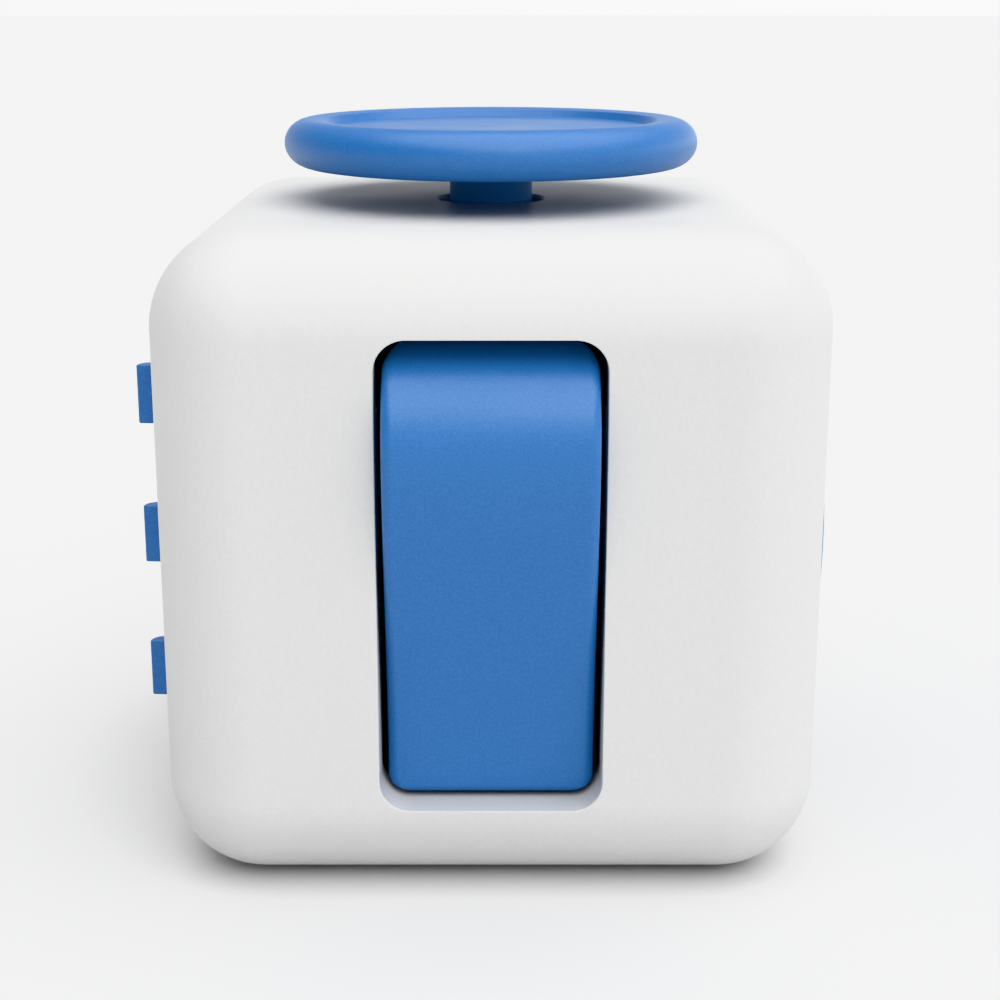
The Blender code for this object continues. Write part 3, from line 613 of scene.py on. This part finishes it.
def make_rocker():
    outline = rocker_outline() + ROCKER_BACK
    bottom = ROCKER_FOOT[1] - ROCKER_FOOT_RADIUS
    top = ROCKER_PEAK[1] + ROCKER_SHOULDER_RADIUS

    def half_width(height):
        """The side walls turn inwards near both ends, with the front's corner radius."""
        from_end = min(height - bottom, top - height)
        lost = max(0.0, ROCKER_CORNER_RADIUS - from_end)
        return ROCKER_HALF_WIDTH - ROCKER_CORNER_RADIUS + sqrt(ROCKER_CORNER_RADIUS**2 - lost**2)

    layers = []
    steps = 8
    for side in (-1, 1):
        for k in range(steps + 1):
            turn = pi / 2 * k / steps - (pi / 2 if side < 0 else 0)
            layer = []
            moved = inset(outline, ROCKER_EDGE * (1 - cos(turn)))
            for (y, z), (_, height) in zip(moved, outline):
                reach = half_width(min(max(height, bottom), top))
                layer.append((side * (reach - ROCKER_EDGE) + ROCKER_EDGE * sin(turn), y, z))
            layers.append(layer)
    width = ROCKER_HALF_WIDTH - CAM_SIDE
    cam = CAM_ABOVE + arc(ROCKER_PIVOT[1:], CAM_RADIUS, 40, -22, 24) + CAM_BELOW
    end = ROCKER_HALF_WIDTH + CLEAR
    cuts = [cylinder(PIN_BORE_RADIUS, -end, end, 40, "+X", ROCKER_PIVOT)]
    for turn in (0, ROCKER_FLIP):
        spot = (0, ROCKER_PIVOT[1] + NOTCH_DISTANCE * cos(turn), NOTCH_DISTANCE * sin(turn))
        cuts.append(cylinder(NOTCH_RADIUS, -end, end, 32, "+X", spot))
    joined = [extruded(cam, -width, width, "X")]
    shape = worked(lofted(layers), ("UNION", joined), ("DIFFERENCE", cuts))
    piece("rocker_paddle", shape, BLUE, "rocker_body", "rocker")


def gear_outline():
    """Teeth with a steep front, a rounded back and a shallow point between them."""
    outline = []
    for tooth in range(GEAR_TEETH):
        turn = pi + 2 * pi * tooth / GEAR_TEETH
        step = 2 * pi / GEAR_TEETH
        back = (GEAR_OUTER - TOOTH_BACK_RADIUS, TOOTH_CREST)
        corner = TOOTH_FLANK - TOOTH_CREST
        local = [(GEAR_ROOT, TOOTH_ROOT[1])]
        local += arc(back, TOOTH_BACK_RADIUS, -90, 0, 14)
        local += arc((GEAR_OUTER - corner, TOOTH_CREST), corner, 0, 90, 5)[1:]
        local += [(GEAR_ROOT, TOOTH_ROOT[0])]
        for r, s in local:
            outline.append((r * cos(turn) - s * sin(turn), r * sin(turn) + s * cos(turn)))
        root = GEAR_ROOT + 0.04
        outline.append((root * cos(turn + step / 2), root * sin(turn + step / 2)))
    return outline


def make_gears():
    x, y = GEAR_AXIS
    for number, height in enumerate(GEAR_HEIGHTS, 1):
        low, high = height - GEAR_THICKNESS / 2, height + GEAR_THICKNESS / 2
        outline = [(x + a, y + b) for a, b in gear_outline()]
        wheel = rounded_plate(outline, low, high, GEAR_EDGE, "Z")
        bore = cylinder(GEAR_BORE_RADIUS, low - 1, high + 1, 48, centre=(x, y, 0))
        shape = worked(wheel, ("DIFFERENCE", [bore]))
        node = f"gear_{number}"
        piece(f"gear_wheel_{number}", shape, BLUE, f"{node}_body", node)


def make_ball():
    """A ball with the fine seam that moulding leaves round its middle."""
    steps = 48
    profile = []
    for k in range(steps + 1):
        turn = pi * k / steps
        radius = BALL_RADIUS - BALL_RIDGE + (BALL_RIDGE if k == steps // 2 else 0)
        profile.append((radius * sin(turn), -radius * cos(turn)))
    shape = turned(profile, 96, "+X", BALL_CENTRE)
    piece("rolling_ball", shape, BLUE, "ball_body", "ball", weighted=False)


def make_dial():
    foot, hub = DIAL_RECESS_FLOOR + FIT_GAP, INNER - WELD
    profile = [(0, DIAL_FACE - DIAL_HOLLOW), (DIAL_RADIUS * 0.5, DIAL_FACE - 0.05)]
    profile.append((DIAL_RADIUS - 1.4, DIAL_FACE - 0.02))
    profile += arc((DIAL_RADIUS - DIAL_EDGE, DIAL_FACE - DIAL_EDGE), DIAL_EDGE, 90, 0, 10)
    profile += [(DIAL_RADIUS, foot), (DIAL_HUB_RADIUS, foot), (DIAL_HUB_RADIUS, hub)]
    profile += [(PILOT_RADIUS, hub), (PILOT_RADIUS, DIAL_FACE - CLEAR), (0, DIAL_FACE - CLEAR)]
    slope = acos(DIMPLE_RISE / DIMPLE_SPHERE)
    dimple = []
    steps = 16
    for k in range(steps + 1):
        turn = slope * k / steps
        dimple.append((DIMPLE_SPHERE * sin(turn), DIMPLE_RISE - DIMPLE_SPHERE * cos(turn)))
    for k in range(1, LIP_STEPS + 1):
        turn = slope * (1 - k / LIP_STEPS)
        reach = DIMPLE_REACH + DIMPLE_LIP * (sin(slope) - sin(turn))
        dimple.append((reach, DIMPLE_LIP * (cos(turn) - cos(slope))))
    dimple += [(DIMPLE_REACH + DIMPLE_LIP, 1.0), (0, 1.0)]
    dimple = turned(dimple, 72, "+X", (DIAL_FACE - DIAL_HOLLOW, 0, DIMPLE_OFFSET))
    shape = worked(turned(profile, 160, "+X"), ("DIFFERENCE", [dimple]))
    piece("spin_dial", shape, BLUE, "dial_body", "dial")


def make_buttons():
    low, high = BUTTON_FLANGE
    profile = []
    steps = 8
    for k in range(steps + 1):
        drop = BUTTON_CROWN * (k / steps) ** 2 * 0.6
        profile.append((BUTTON_RADIUS * k / steps * 0.8, BUTTON_FACE - drop))
    middle = (BUTTON_RADIUS - BUTTON_EDGE, BUTTON_FACE - BUTTON_CROWN - BUTTON_EDGE)
    profile += arc(middle, BUTTON_EDGE, 80, 0, 8)
    profile += [(BUTTON_RADIUS, high), (BUTTON_FLANGE_RADIUS, high), (BUTTON_FLANGE_RADIUS, low)]
    profile += [(BUTTON_PIP_RADIUS, low), (BUTTON_PIP_RADIUS, BUTTON_PIP_END), (0, BUTTON_PIP_END)]
    for number, (column, row) in enumerate(BUTTON_SPOTS, 1):
        spot = (column * BUTTON_SPACING, 0, row * BUTTON_SPACING)
        shape = turned(profile, 72, "+Y", spot)
        node = f"button_{number}"
        piece(f"push_button_{number}", shape, BLUE, f"{node}_body", node)


def make_joystick():
    out, up = RIM_CENTRE
    wide, tall = RIM_HALF
    rim = [(out + wide * a, up + tall * b) for a, b in arc((0, 0), 1, 90, -120, 42)]
    under = DISC_UNDERSIDE
    radius, floor = RECESS_FLOOR
    edge, top = RECESS_EDGE
    lip = [(edge - 0.02, top - 0.05), (edge, top - 0.015), (edge + 0.05, top)]
    lip.append((edge + 0.3, top + 0.04))
    wall = [(radius - 0.04, floor), (radius + 0.01, floor + 0.015), (radius + 0.03, floor + 0.05)]
    neck = arc((STEM_RADIUS + NECK_RADIUS, under - NECK_RADIUS), NECK_RADIUS, 90, 180, 6)
    profile = [(0, floor), (radius * 0.5, floor)] + wall + lip + rim + neck
    profile += [(STEM_RADIUS, STEM_END), (PILOT_RADIUS, STEM_END)]
    profile += [(PILOT_RADIUS, under - CLEAR), (0, under - CLEAR)]
    shape = turned(profile, 192)
    piece("thumb_disc", shape, BLUE, "stick_body", "joystick_disc", sharp=50)


# Camera, floor and light


def make_camera():
    camera = bpy.data.objects.new("camera", bpy.data.cameras.new("camera"))
    camera.data.sensor_width = 36.0
    camera.data.lens = CAMERA_LENS
    camera.data.shift_x = CAMERA_SHIFT
    camera.data.clip_start = 0.01
    camera.location = CAMERA_PLACE
    camera.rotation_euler = (radians(90 - CAMERA_PITCH), 0.0, 0.0)
    bpy.context.scene.collection.objects.link(camera)
    bpy.context.scene.camera = camera


def make_floor():
    shape = bmesh.new()
    bmesh.ops.create_circle(shape, cap_ends=True, segments=96, radius=FLOOR_RADIUS)
    mesh = bpy.data.meshes.new("floor")
    shape.to_mesh(mesh)
    shape.free()
    material = bpy.data.materials.new("floor")
    material.use_nodes = True
    shader = material.node_tree.nodes["Principled BSDF"]
    shader.inputs["Base Color"].default_value = (FLOOR_TONE, FLOOR_TONE, FLOOR_TONE, 1.0)
    shader.inputs["Roughness"].default_value = 0.9
    shader.inputs["Specular IOR Level"].default_value = 0.1
    mesh.materials.append(material)
    floor = bpy.data.objects.new("floor", mesh)
    bpy.context.scene.collection.objects.link(floor)


def sun(name, source, spread, strength):
    """A soft light from far away: the direction that it comes from, and its width in degrees."""
    light = bpy.data.lights.new(name, "SUN")
    light.angle = radians(spread)
    light.energy = strength
    lamp = bpy.data.objects.new(name, light)
    lamp.rotation_euler = Vector(source).to_track_quat("Z", "Y").to_euler()
    bpy.context.scene.collection.objects.link(lamp)


def make_light():
    """A pale sky, brightest low down, on the right and behind, with two suns."""
    world = bpy.data.worlds.new("studio")
    bpy.context.scene.world = world
    world.use_nodes = True
    nodes, links = world.node_tree.nodes, world.node_tree.links
    background = nodes["Background"]
    background.inputs["Color"].default_value = (1.0, 1.0, 1.0, 1.0)
    direction = nodes.new("ShaderNodeTexCoord")
    split = nodes.new("ShaderNodeSeparateXYZ")
    links.new(direction.outputs["Generated"], split.inputs["Vector"])
    height = ranged(nodes, links, split.outputs["Z"], *SKY_LEVELS, (0.0, HORIZON_BAND))
    side = ranged(nodes, links, split.outputs["X"], *SKY_SIDES, (-1.0, 1.0))
    depth = ranged(nodes, links, split.outputs["Y"], *SKY_DEPTH, (-1.0, 1.0))
    level = height.outputs["Result"]
    for factor in (side, depth):
        product = nodes.new("ShaderNodeMath")
        product.operation = "MULTIPLY"
        links.new(level, product.inputs[0])
        links.new(factor.outputs["Result"], product.inputs[1])
        level = product.outputs["Value"]
    links.new(level, background.inputs["Strength"])
    sun("key", *KEY_LIGHT)
    sun("overhead", *OVERHEAD_LIGHT)
    bpy.context.scene.view_settings.view_transform = "Khronos PBR Neutral"


finish_cad_nodes()
make_housing()
make_base()
make_rocker()
make_gears()
make_ball()
make_dial()
make_buttons()
make_joystick()
make_camera()
make_floor()
make_light()
